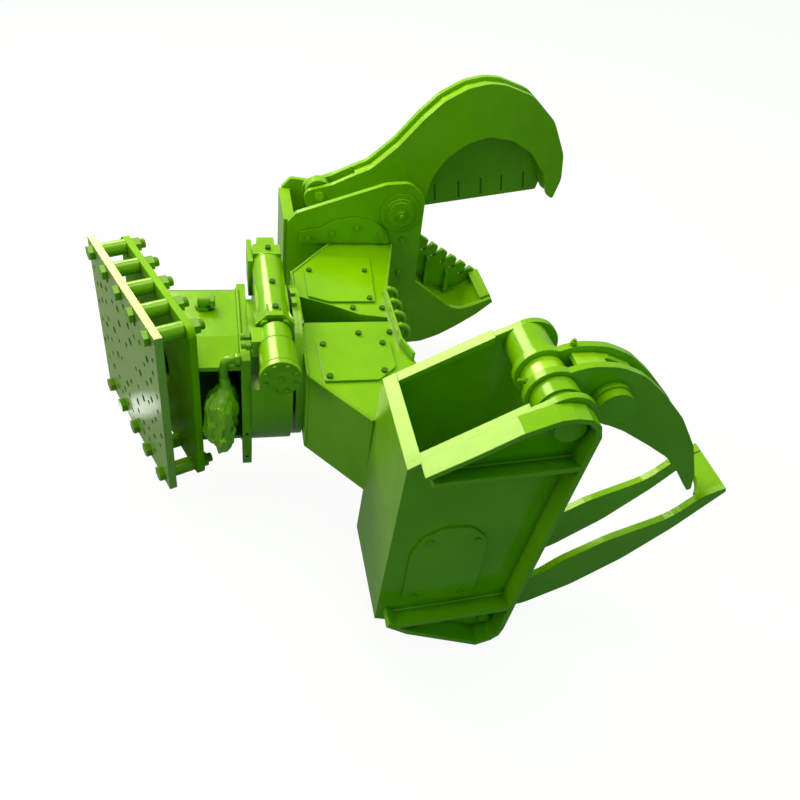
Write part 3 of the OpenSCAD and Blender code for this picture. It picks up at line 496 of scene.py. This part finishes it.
def boltThreads(setup):
    deselectAll()
    bpy.ops.mesh.primitive_circle_add(vertices=3, radius=setup["depth"] / 1000, rotation=(math.pi / 2, 0, 0),
                                      location=(setup["radius"] / 1000, 0, 0))
    thread = settle(bpy.context.object)
    applyModifier(thread, "SCREW", axis="Z", angle=math.tau, screw_offset=setup["pitch"] / 1000,
                  iterations=setup["turns"], steps=setup["steps"], render_steps=setup["steps"],
                  use_smooth_shade=False)
    bpy.ops.object.mode_set(mode="EDIT")
    bpy.ops.mesh.select_all(action="SELECT")
    bpy.ops.mesh.fill_holes(sides=3)
    bpy.ops.mesh.normals_make_consistent(inside=False)
    bpy.ops.object.mode_set(mode="OBJECT")
    copies = []
    for row in (-1, 1):
        for i in range(setup["count"]):
            copy = thread.copy()
            copy.data = thread.data.copy()
            bpy.context.scene.collection.objects.link(copy)
            across = setup["across"] * (2 * i / (setup["count"] - 1) - 1)
            copies.append(placed(copy, onPlate(setup["start"], across, row * setup["up"]),
                                 (0, math.pi / 2, plateTurn)))
    bpy.data.objects.remove(thread)
    return finish(joinAll("boltThreads", copies), boltEnamel, "base")


boltThreads(threadSetup)

# collars, nuts, gaskets and knobs: place, turn of the axis, radius, length, sides
alongX = (0, math.pi / 2, 0)
alongY = (math.pi / 2, 0, 0)
alongZ = (0, 0, 0)
baseFittings = [
    ((281, -164, 134), alongX, 16.5, 12, 6),  # hose nut
    ((374, -206, 193), alongY, 46.2, 2.4, 64),  # gaskets on the motor
    ((374, -298, 193), alongY, 50.0, 2.4, 64),
    ((374, 176, 193), alongY, 43.4, 7, 64),  # bands on the worm tube
    ((374, -108, 193), alongY, 43.0, 5, 64),
    ((314, -150, 193), alongX, 11.5, 5, 24),  # collars on the hose fittings
    ((314, -184, 193), alongX, 11.5, 5, 24),
]
loopCollars = [((714, y, z), alongX, 10.5, 8, 24) for y in (116, 56, -2, -60) for z in (113, 153)]
pivotStud = [((793, 376, 242), alongY, 7.5, 12, 24), ((793, 388, 242), alongY, 19, 3, 32)]
clawKnob = [((955, -528, 443), alongZ, 7, 8, 24), ((955, -528, 449), alongZ, 4.5, 6, 6)]
fittingEdge = {"width": 1.2, "share": 1 / 3, "rounds": 2, "angle": 40}  # share of a short piece's length


def fitting(place, turn, radius, length, sides):
    deselectAll()
    bpy.ops.mesh.primitive_cylinder_add(vertices=sides, radius=radius / 1000, depth=length / 1000)
    part = placed(bpy.context.object, place, turn)
    width = min(fittingEdge["width"], length * fittingEdge["share"])
    applyModifier(part, "BEVEL", width=width / 1000, segments=fittingEdge["rounds"], limit_method="ANGLE",
                  angle_limit=math.radians(fittingEdge["angle"]))
    return part


# wedges around the worm tube, behind the motor's flange
gussetSetup = {
    "axis": (374, 193),
    "start": -109,
    "length": 44,
    "radius": 41,
    "height": 10.5,
    "thickness": 5,
    "slope": 0.9,  # share of the height that is lost at the free end
    "angles": [22.5 + 45 * i for i in range(8)],
}


def gusset(setup, angle):
    bpy.ops.mesh.primitive_cube_add(size=1, location=(0, 0.5, 0.5))
    part = settle(bpy.context.object)
    part.data.vertices.foreach_set("select", [v.co.y > 0.5 and v.co.z > 0.5 for v in part.data.vertices])
    part.data.edges.foreach_set("select", [False] * len(part.data.edges))
    part.data.polygons.foreach_set("select", [False] * len(part.data.polygons))
    bpy.ops.object.mode_set(mode="EDIT")
    bpy.ops.transform.translate(value=(0, 0, -setup["slope"]))
    bpy.ops.object.mode_set(mode="OBJECT")
    part.scale = (setup["thickness"] / 1000, setup["length"] / 1000, setup["height"] / 1000)
    part.location = (0, 0, setup["radius"] / 1000)
    settle(part)
    x, z = setup["axis"]
    return placed(part, (x, setup["start"], z), (0, math.radians(angle), 0))


baseParts = [fitting(*f) for f in baseFittings] + [gusset(gussetSetup, a) for a in gussetSetup["angles"]]
headParts = [fitting(*f) for f in loopCollars + pivotStud]
clawParts = [fitting(*f) for f in clawKnob]
finish(joinAll("baseFittings", baseParts), greenEnamel, "base")
finish(joinAll("headFittings", headParts), boltEnamel, "head")
finish(joinAll("clawKnob", clawParts), boltEnamel, "claw")
print("threads and fittings done")

# supply hose, smooth where the solid is faceted
hoseSetup = {
    "path": [(286, -164, 134), (269, -168, 139), (256, -172, 140), (248, -175, 135),
             (245, -176, 121), (245, -172, 92), (249, -162, 56)],
    "radius": 11,
    "rounds": 6,
    "steps": 8,
    "smooth": 60,
}


def tubeAlong(name, setup):
    curve = bpy.data.curves.new(name, "CURVE")
    curve.dimensions = "3D"
    curve.bevel_depth = setup["radius"] / 1000
    curve.bevel_resolution = setup["rounds"]
    curve.use_fill_caps = True
    curve.resolution_u = setup["steps"]
    spline = curve.splines.new("NURBS")
    spline.points.add(len(setup["path"]) - 1)
    for pathPoint, place in zip(spline.points, setup["path"]):
        pathPoint.co = (*point(place), 1.0)
    spline.order_u = 4
    spline.use_endpoint_u = True
    tube = bpy.data.objects.new(name, curve)
    bpy.context.scene.collection.objects.link(tube)
    pick(tube)
    bpy.ops.object.convert(target="MESH")
    return bpy.context.object


hose = finish(tubeAlong("supplyHose", hoseSetup), hoseEnamel, "base", hoseSetup["smooth"])

# wrapped hose ends: a film bag, crumpled and painted over; a ring is its centre and its radius
bagSetup = {
    "rings": [(245, -172, 92, 12.5), (249, -162, 56, 13), (249, -158, 45, 16), (247, -158, 34, 27),
              (241, -160, 18, 37), (238, -164, 0, 44), (237, -169, -22, 45), (235, -175, -46, 40),
              (236, -182, -75, 36), (239, -188, -94, 34), (238, -192, -110, 29), (235, -195, -124, 22),
              (231, -197, -139, 13), (227, -199, -150, 7), (226, -200, -157, 2)],
    "sides": 48,
    "creases": [("VORONOI", 30, 24), ("VORONOI", 13, 14), ("CLOUDS", 6, 5)],  # size and depth
    "fold": 0.42,  # the folds run along the bag, so it is shortened while they are made
    "tied": 0.08,  # share of the creases at the ends, which are drawn in
    "tipRise": 4,  # how fast the creases grow from the tip
    "neckRise": (2.2, 0.3),  # and from the neck, after a plain stretch
    "smooth": 28,
}


def wrapBag(setup):
    deselectAll()
    first = setup["rings"][0]
    bpy.ops.mesh.primitive_circle_add(vertices=setup["sides"], radius=first[3] / 1000, fill_type="NGON",
                                      location=point(first))
    bag = settle(bpy.context.object)
    bag.name = "wrappedBag"
    bpy.ops.object.mode_set(mode="EDIT")
    bpy.ops.mesh.select_all(action="SELECT")
    for before, ring in zip(setup["rings"], setup["rings"][1:]):
        step = point(ring) - point(before)
        bpy.ops.mesh.extrude_region_move(TRANSFORM_OT_translate={"value": step})
        size = ring[3] / before[3]
        bpy.ops.transform.resize(value=(size, size, 1), center_override=point(ring))
    bpy.ops.mesh.select_all(action="SELECT")
    bpy.ops.mesh.normals_make_consistent(inside=False)
    bpy.ops.object.mode_set(mode="OBJECT")
    applyModifier(bag, "SUBSURF", levels=2, render_levels=2)
    top, tip = (setup["rings"][i][2] / 1000 for i in (0, -1))
    rise, plain = setup["neckRise"]
    loose = bag.vertex_groups.new(name="loose")
    for vertex in bag.data.vertices:
        along = (vertex.co.z - tip) / (top - tip)
        share = min(1.0, along * setup["tipRise"], (1 - along) * rise - plain)
        loose.add([vertex.index], max(setup["tied"], share), "REPLACE")
    bag.scale = (1, 1, setup["fold"])
    settle(bag)
    for i, (kind, size, depth) in enumerate(setup["creases"]):
        texture = bpy.data.textures.new("crease%d" % i, kind)
        texture.noise_scale = size / 1000
        applyModifier(bag, "DISPLACE", texture=texture, strength=depth / 1000, mid_level=0.5,
                      texture_coords="LOCAL", vertex_group="loose")
    bag.scale = (1, 1, 1 / setup["fold"])
    return settle(bag)


bag = finish(wrapBag(bagSetup), filmLitEnamel, "base", bagSetup["smooth"])
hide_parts("hose_bundle")
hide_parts("supply_hose")
print("hoses done")
